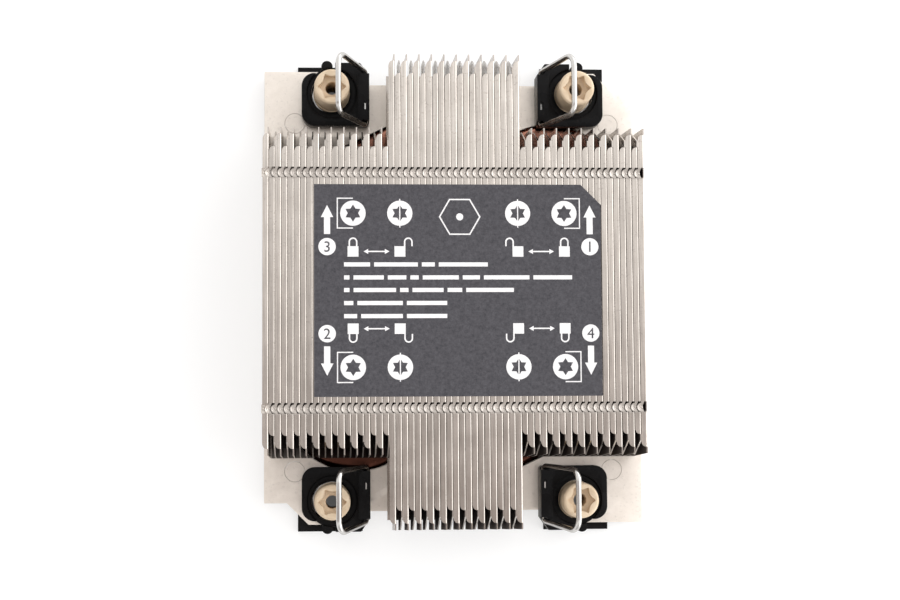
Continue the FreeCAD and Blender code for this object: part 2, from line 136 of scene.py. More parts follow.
def group_tree(kind, name, inputs, outputs):
    """An empty node group with named sockets, its input node and its output node."""
    tree = bpy.data.node_groups.new(name, kind)
    for in_out, sockets in (("INPUT", inputs), ("OUTPUT", outputs)):
        for socket, (form, value) in sockets.items():
            item = tree.interface.new_socket(socket, in_out=in_out, socket_type=f"NodeSocket{form}")
            if value is not None:
                item.default_value = value
    return tree, tree.nodes.new("NodeGroupInput").outputs, tree.nodes.new("NodeGroupOutput")


def mottle_group():
    """Soft cloudy change between two colours and two roughnesses, as on a plated or moulded skin."""
    tree, given, result = group_tree(
        "ShaderNodeTree", "mottle",
        {"Vector": ("Vector", None), "Scale": ("Float", 60.0), "Fine": ("Float", 0.5),
         "Dark": ("Color", (0.5, 0.5, 0.5, 1)), "Light": ("Color", (1, 1, 1, 1)),
         "Smooth": ("Float", 0.3), "Rough": ("Float", 0.5)},
        {"Color": ("Color", None), "Roughness": ("Float", None)})
    cloud = place(tree, "ShaderNodeTexNoise", {"Vector": given["Vector"], "Scale": given["Scale"],
                                               "Detail": 6.0, "Roughness": given["Fine"]})
    value = cloud.outputs["Fac"]
    tint = mix(tree, map_range(tree, value, 0.3, 0.7), given["Dark"], given["Light"])
    gloss = map_range(tree, value, 0.3, 0.7, given["Smooth"], given["Rough"])
    tree.links.new(tint, result.inputs["Color"])
    tree.links.new(gloss, result.inputs["Roughness"])
    return tree


def relief_group():
    """A normal from fine bumps whose pattern can be stretched along one axis."""
    tree, given, result = group_tree(
        "ShaderNodeTree", "fine_relief",
        {"Vector": ("Vector", None), "Scale": ("Float", 900.0), "Stretch": ("Vector", (1, 1, 1)),
         "Height": ("Float", 0.00001)},
        {"Normal": ("Vector", None), "Value": ("Float", None)})
    stretched = place(tree, "ShaderNodeVectorMath", {0: given["Vector"], 1: given["Stretch"]},
                      operation="MULTIPLY")
    grain = place(tree, "ShaderNodeTexNoise", {"Vector": stretched.outputs["Vector"],
                                               "Scale": given["Scale"], "Detail": 3.0})
    bump = place(tree, "ShaderNodeBump", {"Height": grain.outputs["Fac"], "Distance": given["Height"]})
    tree.links.new(bump.outputs["Normal"], result.inputs["Normal"])
    tree.links.new(grain.outputs["Fac"], result.inputs["Value"])
    return tree


def speck_group():
    """Sparse small marks: 1 on clean skin, less on a mark."""
    tree, given, result = group_tree(
        "ShaderNodeTree", "specks",
        {"Vector": ("Vector", None), "Scale": ("Float", 1500.0), "Mark": ("Float", 0.8)},
        {"Value": ("Float", None)})
    grain = place(tree, "ShaderNodeTexNoise", {"Vector": given["Vector"], "Scale": given["Scale"],
                                               "Detail": 2.0, "Roughness": 0.6})
    mark = map_range(tree, grain.outputs["Fac"], 0.6, 0.7, 1.0, given["Mark"])
    tree.links.new(mark, result.inputs["Value"])
    return tree


def channel_group():
    """1 outside the fin stack, falling to a low value between the sheets as painted shade: most of all
    at the front, under the lock notches and on the webs' front ends, and a little all round each lock,
    which dims its reflections. The sheets' cut ends keep a middling value, and the plate is unshaded
    below its top edge."""
    tree, given, result = group_tree(
        "ShaderNodeTree", "channel_shade",
        {"Vector": ("Vector", None), "Deep": ("Float", 0.25)}, {"Shade": ("Float", None)})
    top, plate_edge = FIN_TOP * MM, (PLATE_TOP - 0.25) * MM
    margin, left_margin = 0.06 * MM, 2 * MM          # the stack's outer faces stay unshaded
    # Painted shade: darkest in front of the first Y, lighter behind the second, down only to the last
    # value.
    darkest_y, lightest_y, back_deep = -10 * MM, 30 * MM, 0.85
    dark_below, light_above = top - 9 * MM, top - 1.2 * MM
    notch_half, notch_top = 1.4 * MM, top - 0.6 * MM
    # Painted shade under the notches, and a lighter painted shade all round each lock.
    under_notch, at_lock = 0.05, 0.8
    web_top, web_facing, web_end, at_web_end = top - 0.45 * MM, 0.75, 6 * MM, 0.08
    cut_facing, cut_least = 0.7, 0.6                 # a cut end faces along Y and keeps this much

    def times(first, second):
        return math_node(tree, "MULTIPLY", first, second)

    def below(value, limit):
        return math_node(tree, "LESS_THAN", value, limit)

    def above(value, limit):
        return math_node(tree, "GREATER_THAN", value, limit)

    def size(value):
        return math_node(tree, "ABSOLUTE", value)

    def ramp(value, low, high, at_low, at_high):
        return map_range(tree, value, low, high, at_low, at_high, "SMOOTHSTEP")

    def darkened(shade, mask, to):
        return times(shade, ramp(mask, 0.0, 1.0, 1.0, to))

    at = split(tree, given["Vector"])
    facing = split(tree, place(tree, "ShaderNodeNewGeometry").outputs["Normal"])
    side, end = size(at["X"]), size(at["Y"])
    rows, ends = [], []
    for part in ("centre", "right_wing"):
        reach = box_mm(f"{part}_long_fins")[1] * MM
        rows.append(times(below(side, reach.x - margin), below(end, reach.y)))
        between = times(above(at["X"], left_margin - reach.x), below(at["X"], reach.x - margin))
        ends.append(times(between, below(at["Y"], web_end - reach.y)))
    inside = times(math_node(tree, "MAXIMUM", *rows), above(at["Z"], plate_edge))
    deep = ramp(at["Y"], darkest_y, lightest_y, given["Deep"], back_deep)
    shade = ramp(at["Z"], dark_below, light_above, deep, 1.0)
    by_lock = below(size(math_node(tree, "SUBTRACT", end, LOCK_Y * MM)), notch_half)
    shade = darkened(shade, times(by_lock, below(at["Z"], notch_top)), under_notch)
    shade = darkened(shade, by_lock, at_lock)
    web = times(above(size(facing["X"]), web_facing), below(at["Z"], web_top))
    shade = darkened(shade, times(web, math_node(tree, "MAXIMUM", *ends)), at_web_end)
    shade = math_node(tree, "MAXIMUM", shade, times(above(size(facing["Y"]), cut_facing), cut_least))
    tree.links.new(mix(tree, inside, 1.0, shade, "FLOAT"), result.inputs["Shade"])
    return tree


MOTTLE = mottle_group()
RELIEF = relief_group()
SPECKS = speck_group()
CHANNEL = channel_group()
# Painted shade between the sheets: a dull dark brown, rough and hardly metallic.
SHADE_BROWN, SHADE_ROUGH = (0.03, 0.016, 0.012, 1), 0.85
# Painted shade on the copper towards the front.
FRONT_SHADE_COPPER = (0.09, 0.035, 0.024, 1)


def new_material(name, **surface):
    """A material with a Principled BSDF; surface gives its plain socket values."""
    material = bpy.data.materials.new(name)
    material.use_nodes = True
    tree = material.node_tree
    shader = tree.nodes["Principled BSDF"]
    for socket, value in surface.items():
        shader.inputs[socket.replace("_", " ")].default_value = value
    place_at = place(tree, "ShaderNodeTexCoord").outputs["Object"]
    return material, tree, shader, place_at


def use_group(tree, group, **inputs):
    return place(tree, "ShaderNodeGroup", inputs, node_tree=group).outputs


def shaded_color(tree, shader, color, rough, at, deep):
    """Feed colour and gloss. A metal under the fins has specks, and between the sheets painted shade
    turns it a dull dark brown, rough and hardly metallic."""
    if deep < 1:
        shade = use_group(tree, CHANNEL, Vector=at, Deep=deep)["Shade"]
        specks = use_group(tree, SPECKS, Vector=at, Scale=1300.0, Mark=0.9)["Value"]
        unshaded_unspecked = math_node(tree, "MULTIPLY", shade, specks)
        color = mix(tree, unshaded_unspecked, SHADE_BROWN, color)
        rough = mix(tree, unshaded_unspecked, SHADE_ROUGH, rough, "FLOAT")
        metallic_left = math_node(tree, "MULTIPLY", unshaded_unspecked, shader.inputs["Metallic"].default_value)
        tree.links.new(metallic_left, shader.inputs["Metallic"])
    tree.links.new(color, shader.inputs["Base Color"])
    tree.links.new(rough, shader.inputs["Roughness"])


def skin(name, dark, light, smooth, rough, cloud_scale, relief_scale, relief_height,
         stretch=(1, 1, 1), fine=0.5, deep=1.0, **surface):
    """A finish made of the two shared groups: cloudy colour and gloss, and fine relief."""
    material, tree, shader, at = new_material(name, **surface)
    cloud = use_group(tree, MOTTLE, Vector=at, Scale=cloud_scale, Fine=fine, Dark=(*dark, 1),
                      Light=(*light, 1), Smooth=smooth, Rough=rough)
    relief = use_group(tree, RELIEF, Vector=at, Scale=relief_scale, Stretch=stretch,
                       Height=relief_height)
    shaded_color(tree, shader, cloud["Color"], cloud["Roughness"], at, deep)
    tree.links.new(relief["Normal"], shader.inputs["Normal"])
    return material, tree, shader, at, cloud


def plate_material():
    # Painted shade darkens the plate between the fins, down to deep.
    return skin("nickel_plate", dark=(0.82, 0.752, 0.68), light=(0.90, 0.832, 0.76), smooth=0.3,
                rough=0.38, cloud_scale=420, relief_scale=1400, relief_height=0.000004, fine=0.7,
                deep=0.2, Metallic=0.7)[0]


def fin_material():
    """Plated sheet: faint rolling streaks along the fin and a slight change from sheet to sheet."""
    material, tree, shader, at, cloud = skin(
        "fin_nickel", dark=(0.575, 0.527, 0.482), light=(0.67, 0.617, 0.568), smooth=0.1, rough=0.17,
        cloud_scale=160, relief_scale=1500, relief_height=0.000004, stretch=(1, 0.04, 1),
        Metallic=0.95)
    streaks = use_group(tree, RELIEF, Vector=at, Scale=2600.0, Stretch=(1, 0.03, 1), Height=0.0)
    index = math_node(tree, "DIVIDE", split(tree, at)["X"], FIN_PITCH * MM)
    per_sheet = place(tree, "ShaderNodeTexWhiteNoise", {"W": math_node(tree, "CEIL", index)},
                      noise_dimensions="1D")
    sheet_tint = map_range(tree, per_sheet.outputs["Value"], 0.0, 1.0, 0.92, 1.05)
    streak_tint = map_range(tree, streaks["Value"], 0.35, 0.65, 0.86, 1.06)
    tinted = place(tree, "ShaderNodeVectorMath",
                   {0: cloud["Color"], "Scale": math_node(tree, "MULTIPLY", sheet_tint, streak_tint)},
                   operation="SCALE")
    # Painted shade between the sheets, darkest of all on the fins.
    shaded_color(tree, shader, tinted.outputs["Vector"], cloud["Roughness"], at, deep=0.08)
    return material


def copper_material():
    """Copper, full colour at the back and painted darker brown towards the front, as shade."""
    material, tree, shader, at, cloud = skin(
        "copper", dark=(0.2, 0.08, 0.055), light=(0.5, 0.24, 0.17), smooth=0.14, rough=0.3,
        cloud_scale=110, relief_scale=1200, relief_height=0.000004, Metallic=1.0)
    bright = map_range(tree, split(tree, at)["Y"], -0.01, 0.03)
    color = mix(tree, bright, FRONT_SHADE_COPPER, cloud["Color"])
    shaded_color(tree, shader, color, cloud["Roughness"], at, deep=0.2)
    return material


def film_material():
    """Dark label film with a fine speckle."""
    return skin("label_film", dark=(0.032, 0.031, 0.037), light=(0.094, 0.091, 0.102), smooth=0.45,
                rough=0.6, cloud_scale=1300, relief_scale=900, relief_height=0.000003, fine=0.8,
                Metallic=0.0, Specular_IOR_Level=0.3)[0]


def print_material():
    return skin("label_print", dark=(0.76, 0.75, 0.76), light=(0.86, 0.85, 0.85), smooth=0.45,
                rough=0.6, cloud_scale=900, relief_scale=900, relief_height=0.000002)[0]


def black_material():
    return skin("black_plastic", dark=(0.004, 0.0038, 0.0042), light=(0.008, 0.0077, 0.0083),
                smooth=0.2, rough=0.34, cloud_scale=260, relief_scale=1800, relief_height=0.000006,
                Metallic=0.0, Specular_IOR_Level=0.11)[0]


def beige_material():
    return skin("beige_plastic", dark=(0.60, 0.46, 0.31), light=(0.74, 0.60, 0.44), smooth=0.42,
                rough=0.6, cloud_scale=350, relief_scale=1500, relief_height=0.000006,
                Metallic=0.0)[0]


def steel_material():
    return skin("steel", dark=(0.58, 0.57, 0.56), light=(0.68, 0.67, 0.65), smooth=0.16, rough=0.24,
                cloud_scale=120, relief_scale=1300, relief_height=0.000002, Metallic=1.0)[0]


PLATE, FIN, COPPER, FILM = plate_material(), fin_material(), copper_material(), film_material()
PRINT, BLACK, BEIGE, STEEL = print_material(), black_material(), beige_material(), steel_material()


# ---------------------------------------------------------------------------------------------
# pieces
# ---------------------------------------------------------------------------------------------

def new_piece(name, mesh, material=None):
    piece = bpy.data.objects.new(name, mesh)
    bpy.context.scene.collection.objects.link(piece)
    if material is not None:
        mesh.materials.clear()
        mesh.materials.append(material)
    return piece


def mesh_from(bm, name):
    mesh = bpy.data.meshes.new(name)
    bm.to_mesh(mesh)
    bm.free()
    return mesh


SMOOTH_BELOW = math.radians(35)      # softer edges are shaded smooth
CREASE = math.radians(40)            # sharper edges get a small round
WELD = 0.002                         # vertices nearer to each other than this become one
FLAT = math.radians(0.5)             # faces that meet at less than this become one


def mesh_in_metres(bm, name):
    """The mesh of a closed shape that was drawn in millimetres."""
    bmesh.ops.recalc_face_normals(bm, faces=bm.faces[:])
    bmesh.ops.scale(bm, vec=(MM, MM, MM), verts=bm.verts[:])
    return mesh_from(bm, name)


def smooth_by_angle(bm):
    """Smooth faces, with the sharper edges kept crisp."""
    bm.normal_update()
    for face in bm.faces:
        face.smooth = True
    for edge in bm.edges:
        if len(edge.link_faces) == 2 and edge.calc_face_angle(0.0) > SMOOTH_BELOW:
            edge.smooth = False


def round_edges(bm, offset, chosen):
    """A small round on each crease that chosen accepts."""
    edges = [e for e in bm.edges
             if len(e.link_faces) == 2 and e.calc_face_angle(0.0) > CREASE and chosen(e)]
    bmesh.ops.bevel(bm, geom=edges, offset=offset, segments=2, profile=0.6, affect="EDGES",
                    clamp_overlap=True)


def plain_mesh(piece):
    """The evaluated mesh of a piece with its modifiers, as a mesh of its own."""
    depsgraph = bpy.context.evaluated_depsgraph_get()
    depsgraph.update()
    return bpy.data.meshes.new_from_object(piece.evaluated_get(depsgraph))


def dressed_copy(node, name, material, body, bevel=0.0, chosen=lambda edge: True, reshape=None):
    """A merged copy of a CAD node with softened edges, which then stands for the node."""
    bm = bmesh.new()
    bm.from_mesh(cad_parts[node].data)
    bmesh.ops.remove_doubles(bm, verts=bm.verts[:], dist=WELD * MM)
    bmesh.ops.dissolve_limit(bm, angle_limit=FLAT, verts=bm.verts[:], edges=bm.edges[:])
    if reshape:
        reshape(bm)
    bm.normal_update()
    if bevel:
        round_edges(bm, bevel * MM, chosen)
    smooth_by_angle(bm)
    piece = new_piece(name, mesh_from(bm, name), material)
    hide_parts(node)
    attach(piece, body)


# ---------------------------------------------------------------------------------------------
# folded fins
# ---------------------------------------------------------------------------------------------

def arc_points(centre, wide, long, start, end, steps):
    angles = (math.radians(start + (end - start) * k / steps) for k in range(steps + 1))
    return [(centre[0] + wide * math.cos(a), centre[1] + long * math.sin(a)) for a in angles]


def flat_pattern(flange, short):
    """Outline and holes of one unfolded sheet, as (distance across the folds, y) points."""
    step = SHORT_STEP if short else 0
    end = flange - step
    web_end, web_low = flange + OVERHANG, flange + OVERHANG + FLARE
    half = arc_points((-FLANGE_FLAT, LOCK_Y), LOCK_DEEP, LOCK_HALF, 180, 90, 6)
    round_wide = min(CORNER_WIDE, FLANGE_FLAT)
    half += arc_points((-FLANGE_FLAT + round_wide, end - CORNER_LONG), round_wide, CORNER_LONG, 180,
                       90, 8)
    top_edge = BEND_LONG - BEND
    half += [(BEND_LONG, end), (BEND_LONG, end + RELIEF_CUT), (top_edge, end + RELIEF_CUT),
             (top_edge, web_end - step)]
    if short:
        half.append((top_edge + SLANT, web_end + FLARE * SLANT / (FIN_TOP - PLATE_TOP)))
    low_edge = LOW_BEND + BEND
    half += [(low_edge, web_low), (low_edge, flange + RELIEF_CUT), (LOW_BEND, flange + RELIEF_CUT),
             (LOW_BEND, flange), (LAST, flange)]
    below = arc_points((-FLANGE_FLAT, LOCK_Y), LOCK_DEEP, LOCK_HALF, 270, 180, 6)
    start = [(-FLANGE_FLAT, 0.0)] + below[:-1]
    outline = start + half
    outline += [(u, -y) for u, y in reversed(outline[1:])]
    deep, wall = -(NOTCH_DEEP - BEND_WIDE), BEND_LONG + NOTCH_TALL - BEND
    cut, drop, heel = 0.32, 0.8, 0.25          # slants of the notch at the flange and on the web
    notch = [(deep, -NOTCH_DOWN + drop), (deep + cut, -NOTCH_DOWN), (wall - heel, -NOTCH_DOWN),
             (wall, -NOTCH_DOWN + heel), (wall, NOTCH_UP - heel), (wall - heel, NOTCH_UP),
             (deep + cut, NOTCH_UP), (deep, NOTCH_UP - drop)]
    holes = [[(u, side * LOCK_Y + y) for u, y in notch] for side in (-1, 1)]
    return [outline] + holes


def folded(u, y, top_end, low_end):
    """Place of a flat-pattern point on the folded sheet: its own fold's outer face is at x = 0."""
    if u < BEND_LONG and abs(y) > top_end + RELIEF_CUT / 2:
        return -SHEET / 2, y, FIN_TOP - BEND + BEND_LONG - u
    if u > LOW_BEND and abs(y) > low_end + RELIEF_CUT / 2:
        return -SHEET / 2, y, PLATE_TOP + BEND - (u - LOW_BEND)
    across = BEND_WIDE - SHEET / 2
    if u <= 0:
        return u - BEND_WIDE, y, FIN_TOP - SHEET / 2
    if u < BEND_LONG:
        turn = u / MIDDLE
        return across * math.sin(turn) - BEND_WIDE, y, FIN_TOP - BEND + MIDDLE * math.cos(turn)
    if u <= LOW_BEND:
        return -SHEET / 2, y, FIN_TOP - BEND - (u - BEND_LONG)
    if u < LOW_BEND + BEND_LONG:
        turn = (u - LOW_BEND) / MIDDLE
        return across * math.cos(turn) - BEND_WIDE, y, PLATE_TOP + BEND - MIDDLE * math.sin(turn)
    return -BEND_WIDE - (u - LOW_BEND - BEND_LONG), y, PLATE_TOP + SHEET / 2


def lock_relief(u, y):
    """Height of the pressed rim round a lock tab and of the ring-shaped dimple in it."""
    half_long, fade_wide = 1.2, 0.3
    dish_deep, dish_edge, dish_slope = 0.15, 0.94, 0.45
    dimple_deep, dimple_r, dimple_wide, dimple_in = 0.13, 0.3, 0.1, 0.12
    across, along = u + FLANGE_FLAT, abs(abs(y) - LOCK_Y)
    if across > PRESS_WIDE or along > half_long:
        return 0.0
    edge = math.hypot(min(across, 0) / LOCK_DEEP, along / LOCK_HALF)
    fade = min(1, max(0, (PRESS_WIDE - across) / fade_wide))
    slope = min(1, max(0, (dish_edge - edge) / dish_slope))
    dish = -dish_deep * slope * slope * (3 - 2 * slope)
    ring = math.hypot(across - dimple_in, along)
    dimple = -dimple_deep * math.exp(-((ring - dimple_r) / dimple_wide) ** 2)
    return fade * (dish + dimple)


def cut_across(bm, faces, point, normal):
    """Cut the given faces along one line of the flat pattern."""
    geometry = set(faces)
    for face in faces:
        geometry.update(face.edges)
        geometry.update(face.verts)
    bmesh.ops.bisect_plane(bm, geom=list(geometry), plane_co=point, plane_no=normal, dist=1e-6)


def lock_faces(bm, side):
    """Faces of the flange round one lock."""
    found = []
    for face in bm.faces:
        middle = face.calc_center_median()
        if middle.x < -FLANGE_FLAT + PRESS_WIDE and abs(middle.y - side * LOCK_Y) < PRESS_HALF:
            found.append(face)
    return found


def cut_round_lock(bm, side):
    """Cut the flange round one lock into faces small enough for its pressing."""
    fine_wide, columns, rows = 1.6, 13, 20
    for edge in (-PRESS_HALF, PRESS_HALF):
        near = [f for f in bm.faces if f.calc_center_median().x < 0]
        cut_across(bm, near, (0, side * LOCK_Y + edge, 0), (0, 1, 0))
    near = [f for f in bm.faces if f.calc_center_median().x < 0
            and abs(f.calc_center_median().y - side * LOCK_Y) < PRESS_HALF]
    cut_across(bm, near, (-FLANGE_FLAT + PRESS_WIDE, 0, 0), (1, 0, 0))
    for k in range(1, columns):
        across = -FLANGE_FLAT - LOCK_DEEP + fine_wide * k / columns
        cut_across(bm, lock_faces(bm, side), (across, 0, 0), (1, 0, 0))
    for k in range(1, rows):
        along = side * LOCK_Y - PRESS_HALF + 2 * PRESS_HALF * k / rows
        cut_across(bm, lock_faces(bm, side), (0, along, 0), (0, 1, 0))


def sheet_mesh(name, flange, short):
    """One fin: its flat pattern filled, cut along the fold lines, folded up and given its thickness."""
    bm = bmesh.new()
    for loop in flat_pattern(flange, short):
        corners = [bm.verts.new((u, y, 0)) for u, y in loop]
        for a, b in zip(corners, corners[1:] + corners[:1]):
            bm.edges.new((a, b))
    bmesh.ops.triangle_fill(bm, use_beauty=True, edges=bm.edges[:], normal=(0, 0, 1))
    for start in (0.0, LOW_BEND):
        for k in range(BEND_STEPS + 1):
            cut_across(bm, bm.faces[:], (start + BEND_LONG * k / BEND_STEPS, 0, 0), (1, 0, 0))
    for side in (-1, 1):
        cut_round_lock(bm, side)
    top_end = flange - (SHORT_STEP if short else 0)
    for vert in bm.verts:
        u, y = vert.co.x, vert.co.y
        x, y, z = folded(u, y, top_end, flange)
        vert.co = Vector((x, y, z + (lock_relief(u, y) if u < 0 else 0))) * MM
    bm.normal_update()
    bmesh.ops.recalc_face_normals(bm, faces=bm.faces[:])
    sheet = new_piece(name, mesh_from(bm, name))
    wall = sheet.modifiers.new("wall", "SOLIDIFY")
    wall.thickness, wall.offset, wall.use_even_offset = SHEET * MM, 0.0, True
    mesh = plain_mesh(sheet)
    bpy.data.objects.remove(sheet)
    bm = bmesh.new()
    bm.from_mesh(mesh)
    bmesh.ops.recalc_face_normals(bm, faces=bm.faces[:])
    smooth_by_angle(bm)
    bm.to_mesh(mesh)
    bm.free()
    return mesh


def row_tree():
    """Copies of one sheet along X, realised and given their material."""
    tree, given, result = group_tree(
        "GeometryNodeTree", "sheet_row",
        {"Sheet": ("Object", None), "Count": ("Int", 10), "First": ("Float", 0.0),
         "Spacing": ("Float", 0.003), "Loose": ("Float", 0.0), "Seed": ("Int", 1),
         "Finish": ("Material", None)},
        {"Geometry": ("Geometry", None)})
    start = place(tree, "ShaderNodeCombineXYZ", {"X": given["First"]})
    stride = place(tree, "ShaderNodeCombineXYZ", {"X": given["Spacing"]})
    line = place(tree, "GeometryNodeMeshLine", {"Count": given["Count"],
                                                "Start Location": start.outputs["Vector"],
                                                "Offset": stride.outputs["Vector"]}, mode="OFFSET")
    sheet = place(tree, "GeometryNodeObjectInfo", {"Object": given["Sheet"]})
    lower = place(tree, "ShaderNodeMath", {0: given["Loose"], 1: -1.0}, operation="MULTIPLY")
    turn = place(tree, "FunctionNodeRandomValue", {"Seed": given["Seed"]}, data_type="FLOAT")
    tree.links.new(lower.outputs["Value"], turn.inputs[2])
    tree.links.new(given["Loose"], turn.inputs[3])
    turned = place(tree, "ShaderNodeCombineXYZ", {"Z": turn.outputs[1]})
    copies = place(tree, "GeometryNodeInstanceOnPoints", {"Points": line.outputs["Mesh"],
                                                          "Instance": sheet.outputs["Geometry"],
                                                          "Rotation": turned.outputs["Vector"]})
    real = place(tree, "GeometryNodeRealizeInstances", {"Geometry": copies.outputs["Instances"]})
    finish = place(tree, "GeometryNodeSetMaterial", {"Geometry": real.outputs["Geometry"],
                                                     "Material": given["Finish"]})
    tree.links.new(finish.outputs["Geometry"], result.inputs["Geometry"])
    return tree


def set_inputs(modifier, tree, values):
    """Set a modifier's inputs by the identifiers of the tree's named sockets."""
    for item in tree.interface.items_tree:
        if item.item_type == "SOCKET" and item.in_out == "INPUT" and item.name in values:
            modifier[item.identifier] = values[item.name]


def trim_left(bm, limit):
    """Cut off what lies left of the limit and close the cuts."""
    bmesh.ops.bisect_plane(bm, geom=bm.verts[:] + bm.edges[:] + bm.faces[:], dist=1e-8,
                           plane_co=(limit, 0, 0), plane_no=(-1, 0, 0), clear_outer=True)
    bmesh.ops.holes_fill(bm, edges=[e for e in bm.edges if e.is_boundary], sides=0)


def row_of_sheets(node, sheet, tree, seed):
    """Every second sheet of one part of the stack, which then stands for the CAD node."""
    low, high = box_mm(node)
    count = round((high.x - low.x - 2 * FIN_PITCH) / (2 * FIN_PITCH)) + 1
    row = new_piece(f"folded_{node}", bpy.data.meshes.new(node))
    modifier = row.modifiers.new("row", "NODES")
    modifier.node_group = tree
    set_inputs(modifier, tree, {
        "Sheet": sheet, "Count": count, "First": (high.x - 2 * FIN_PITCH * (count - 1)) * MM,
        "Spacing": 2 * FIN_PITCH * MM, "Loose": SHEET_LOOSE, "Seed": seed, "Finish": FIN})
    bm = bmesh.new()
    bm.from_mesh(plain_mesh(row))
    row.modifiers.remove(modifier)
    if min(v.co.x for v in bm.verts) < PLATE_LOW.x * MM:
        trim_left(bm, low.x * MM)
    row.data = mesh_from(bm, f"folded_{node}")
    row.data.materials.append(FIN)
    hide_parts(node)
    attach(row, "heatsink")


def make_fins():
    """The rows of long and short sheets; both wings share one sheet of each kind."""
    tree = row_tree()
    for part, rows in {"wing": ("left_wing", "right_wing"), "centre": ("centre",)}.items():
        flange = flange_end(f"{rows[0]}_long_fins")
        for kind in ("long", "short"):
            mesh = sheet_mesh(f"{part}_{kind}_sheet", flange, kind == "short")
            sheet = new_piece(f"{part}_{kind}_sheet", mesh)
            for seed, row in enumerate(rows, 1):
                row_of_sheets(f"{row}_{kind}_fins", sheet, tree, seed)
            bpy.data.objects.remove(sheet)


# ---------------------------------------------------------------------------------------------
# plate, carriers, nuts, wires
# ---------------------------------------------------------------------------------------------

def nut_axis(corner):
    """The middle of a nut."""
    low, high = box_mm(f"nut_{corner}")
    return (low + high) / 2


def carrier_top(corner):
    return box_mm(f"carrier_{corner}")[1].z


def on_plate_rim(edge):
    """True for the edges of the plate's outline, and not for its grooves and nut holes."""
    hole_r, side_band, end_band, contact_band = 4.5, 0.1, 5.4, 1.4
    middle = (edge.verts[0].co + edge.verts[1].co) / 2 / MM
    x, y = abs(middle.x), abs(middle.y)
    axis = nut_axis("back_right")
    in_hole = math.hypot(x - axis.x, y - axis.y) < hole_r
    on_side = x > PLATE_HIGH.x - side_band
    on_end = y > PLATE_HIGH.y - end_band
    return middle.z > PLATE_LOW.z + contact_band and not in_hole and (on_side or on_end)


def make_metal_base():
    dressed_copy("base_plate", "milled_plate", PLATE, "heatsink", 0.22, on_plate_rim)
    dressed_copy("plate_plugs", "pressed_plugs", PLATE, "heatsink")
    for side in ("left", "right"):
        dressed_copy(f"heat_pipe_{side}", f"copper_pipe_{side}", COPPER, "heatsink")


def make_lip(corner):
    """Lip moulded into the well, over the nut's flange, its opening a little further out."""
    outer_r, inner_r, outwards = 6.27, 4.82, 0.33
    down, thick, edge_round, steps = 4.3, 0.5, 0.12, 64
    side, axis = CORNERS[corner][0], nut_axis(corner)
    top = carrier_top(corner) - down
    outer = circle_points(axis.x, axis.y, outer_r, steps)
    inner = circle_points(axis.x + side * outwards, axis.y, inner_r, steps)
    bm = bmesh.new()
    thin_solid(bm, [outer, inner], top - thick, top)
    bmesh.ops.recalc_face_normals(bm, faces=bm.faces[:])
    round_edges(bm, edge_round, lambda edge: min(v.co.z for v in edge.verts) > top - 0.01)
    smooth_by_angle(bm)
    lip = new_piece(f"well_lip_{corner}", mesh_in_metres(bm, f"well_lip_{corner}"), BLACK)
    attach(lip, "heatsink")


def make_slot_highlight(corner):
    """A thin steel sheet in the slot of the wire block that stands in for the light seen through the
    slot:
    highest at the front right, where it catches the light, and lower, in shade, at the other corners.
    """
    inwards, along, half_wide, half_long, tall = 8.2, 3.675, 0.15, 0.75, 2.0
    down = 0.25 if corner == "front_right" else 1.3
    (side, end), axis = CORNERS[corner], nut_axis(corner)
    x, y = axis.x - side * inwards, axis.y - end * along
    top = carrier_top(corner) - down
    bm = bmesh.new()
    thin_solid(bm, [bar_points(x - half_wide, x + half_wide, y - half_long, y + half_long)],
               top - tall, top)
    highlight_piece = new_piece(f"slot_leaf_{corner}", mesh_in_metres(bm, f"slot_leaf_{corner}"), STEEL)
    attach(highlight_piece, "heatsink")


def open_star(corner):
    """How a nut's recess becomes a little wider and shallower than the solid's."""
    recess_r, recess_deep, bore_r = 3.3, 4.3, 1.75
    wider, mouth_deep, floor_deep = 1.15, 1.0, 2.6
    axis, top = nut_axis(corner), box_mm(f"nut_{corner}")[1].z

    def reshape(bm):
        for vert in bm.verts:
            x, y, z = vert.co / MM - Vector((axis.x, axis.y, 0))
            r = math.hypot(x, y)
            if z < top - recess_deep or r > recess_r:
                continue
            scale = wider if r > bore_r else 1.0
            if z < top - mouth_deep:
                z = top - floor_deep
            vert.co = Vector((axis.x + x * scale, axis.y + y * scale, z)) * MM
    return reshape


def make_corner(corner):
    make_lip(corner)
    make_slot_highlight(corner)
    dressed_copy(f"carrier_{corner}", f"moulded_carrier_{corner}", BLACK, "heatsink",
                 0.16)
    dressed_copy(f"nut_{corner}", f"moulded_nut_{corner}", BEIGE, f"nut_{corner}_turning",
                 0.12, reshape=open_star(corner))
    dressed_copy(f"anti_tilt_wire_{corner}", f"bent_wire_{corner}", STEEL, f"wire_{corner}",
                 0.1)
    for name, body in (("nut_washer", "heatsink"), ("retaining_ring", f"nut_{corner}_turning")):
        dressed_copy(f"{name}_{corner}", f"stamped_{name}_{corner}", STEEL, body, 0.06)


# ---------------------------------------------------------------------------------------------
# label
# ---------------------------------------------------------------------------------------------

PRINT_THICK = 0.02                   # ink above the film; digits lie as far above the ink
STROKE = 0.27
PRINT_SHIFT = 0.2                    # the print sits this far right of the film's middle
DIGIT_X, DIGIT_Y = 31.4, 10.35       # middles of the four numbered discs
DIGIT_TALL = 3.6
SIGN = (0.2, 17.5)                   # middle of the six-sided sign
FILM_CUT = 4.8                       # the film's one cut corner
LINES_LEFT, BAR_HALF, BAR_GAP = -27.4, 0.5, 0.95
LINES = {6.1: (6.2, 10.4, 3.1, 11.7), 3.0: (1.3, 7.2, 4.4, 2.0, 8.6, 4.1, 10.9, 9.3),
         0.0: (1.3, 10.1, 2.0, 7.4, 3.5, 11.4), -3.1: (2.2, 10.8, 9.6),
         -6.2: (3.1, 9.9, 9.6)}      # each line's height on the film, and its bars' lengths


